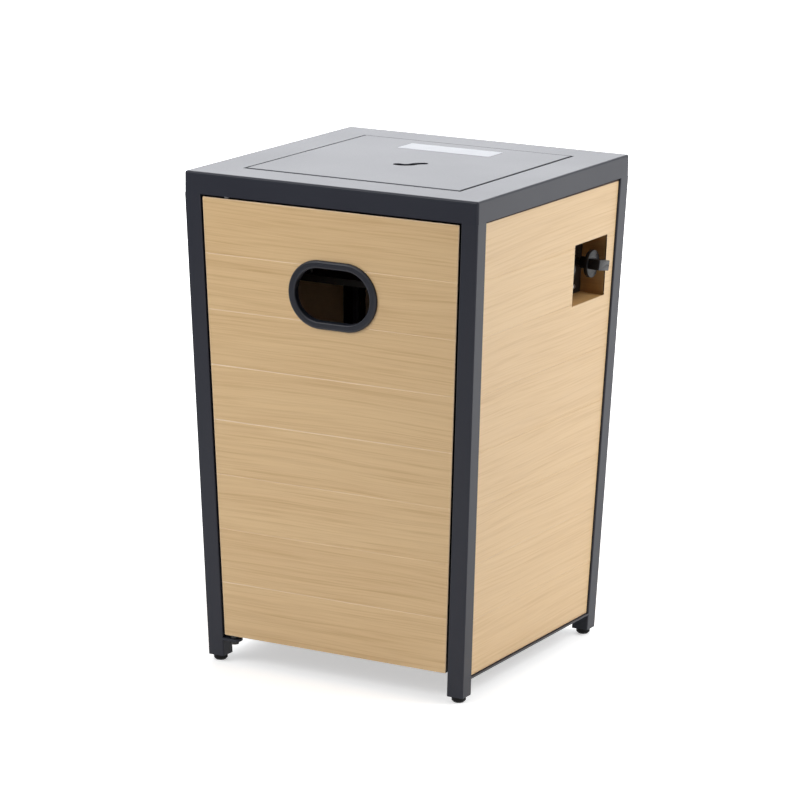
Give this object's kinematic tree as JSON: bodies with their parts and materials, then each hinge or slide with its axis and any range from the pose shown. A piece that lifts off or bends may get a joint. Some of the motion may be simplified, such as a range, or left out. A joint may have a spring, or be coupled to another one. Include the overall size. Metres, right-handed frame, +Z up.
{
  "type": "gas fire pit table",
  "caption": "Square column fire pit table with a tapered dark steel frame, wood-effect panels, a door with an oval grip, a recessed gas knob and a lift-off lid.",
  "frame": {"origin": "on the floor, at the middle of the square plan", "axes": "+Z up, -Y out of the door, +X out of the side with the control recess"},
  "size_m": [0.4032, 0.4009, 0.6165],
  "materials": {
    "frame_paint": "anthracite powder coat, satin, very fine texture",
    "wood_effect": "light oak wood-effect coating with plank lines and fine level grain",
    "ring_plastic": "dark satin moulding",
    "black_plastic": "black moulded plastic",
    "black_plate": "black powder coat",
    "nylon": "black nylon",
    "plated_steel": "zinc-plated steel",
    "stainless": "stainless steel, brushed",
    "heat_paint": "black heat-proof paint",
    "brass": "machined brass",
    "aluminium_tube": "drawn tube",
    "ceramic": "white glazed ceramic with a steel wire",
    "lead_cover": "heat-proof sleeve",
    "lava": "porous lava rock"
  },
  "bodies": {
    "frame": {"back_panel": "wood_effect", "bottom_rail_back": "frame_paint", "bottom_rail_left": "frame_paint", "bottom_rail_right": "frame_paint", "bowl_screws": "plated_steel", "burner": "stainless", "catch_magnet": "black_plastic", "control_plate": "black_plate", "control_surround": "wood_effect", "fire_bowl": "heat_paint", "gas_tube": "aluminium_tube", "heat_shield": "plated_steel", "hinge_lug": "frame_paint", "igniter_housing": "black_plastic", "igniter_nut": "black_plastic", "ignition_wire": "lead_cover", "inlet_fitting": "brass", "jet_holder": "brass", "lava_rocks": "lava", "left_panel": "wood_effect", "lower_pivot_pin": "black_plate", "plate_screws": "plated_steel", "post_back_left": "frame_paint", "post_back_right": "frame_paint", "post_front_left": "frame_paint", "post_front_right": "frame_paint", "post_plugs": "black_plastic", "right_panel": "wood_effect", "shield_spacers": "plated_steel", "spark_electrode": "ceramic", "table_top": "frame_paint", "thermocouple": "stainless", "thermocouple_lead": "lead_cover", "upper_pivot_pin": "plated_steel", "valve_body": "brass", "valve_nut": "black_plate", "venturi_tube": "stainless"},
    "lid": {"lid": "frame_paint"},
    "door": {"door_panel": "wood_effect", "grip_ring": "ring_plastic", "upper_bush": "nylon", "lower_bush": "nylon", "catch_strike": "plated_steel"},
    "valve_plug": {"valve_plug": "brass"},
    "knob": {"control_knob": "black_plastic", "valve_stem": "black_plate"},
    "igniter_button": {"igniter_button": "black_plastic"},
    "foot_front_left": {"foot_front_left": "black_plastic"},
    "foot_front_right": {"foot_front_right": "black_plastic"},
    "foot_back_right": {"foot_back_right": "black_plastic"},
    "foot_back_left": {"foot_back_left": "black_plastic"}
  },
  "joints": [
    {"name": "door_hinge", "type": "hinge", "parent": "frame", "child": "door", "pos_m": [-0.14498, -0.17106, 0.00778], "axis": [0, 0.0367, -0.9993], "range_deg": [0, 110]},
    {"name": "lid_lift", "type": "slide", "parent": "frame", "child": "lid", "axis": [0, 0, 1], "range_m": [0, 0.15]},
    {"name": "knob_turn", "type": "hinge", "parent": "frame", "child": "valve_plug", "pos_m": [0.19626, 0.13072, 0.48727], "axis": [0.9993, 0, -0.0367], "range_deg": [0, 180]},
    {"name": "knob_push", "type": "slide", "parent": "valve_plug", "child": "knob", "axis": [-0.9993, 0, 0.0367], "range_m": [0, 0.005], "stiffness_N_per_m": 600, "springref_m": -0.003},
    {"name": "igniter_press", "type": "slide", "parent": "frame", "child": "igniter_button", "axis": [-0.9993, 0, 0.0367], "range_m": [0, 0.004], "stiffness_N_per_m": 200, "springref_m": -0.004},
    {"name": "foot_front_left_turn", "type": "hinge", "parent": "frame", "child": "foot_front_left", "pos_m": [-0.16765, -0.16765, 0], "axis": [0, 0, 1], "continuous": true},
    {"name": "foot_front_right_turn", "type": "hinge", "parent": "frame", "child": "foot_front_right", "pos_m": [0.16765, -0.16765, 0], "axis": [0, 0, 1], "continuous": true},
    {"name": "foot_back_right_turn", "type": "hinge", "parent": "frame", "child": "foot_back_right", "pos_m": [0.16765, 0.16765, 0], "axis": [0, 0, 1], "continuous": true},
    {"name": "foot_back_left_turn", "type": "hinge", "parent": "frame", "child": "foot_back_left", "pos_m": [-0.16765, 0.16765, 0], "axis": [0, 0, 1], "continuous": true}
  ]
}
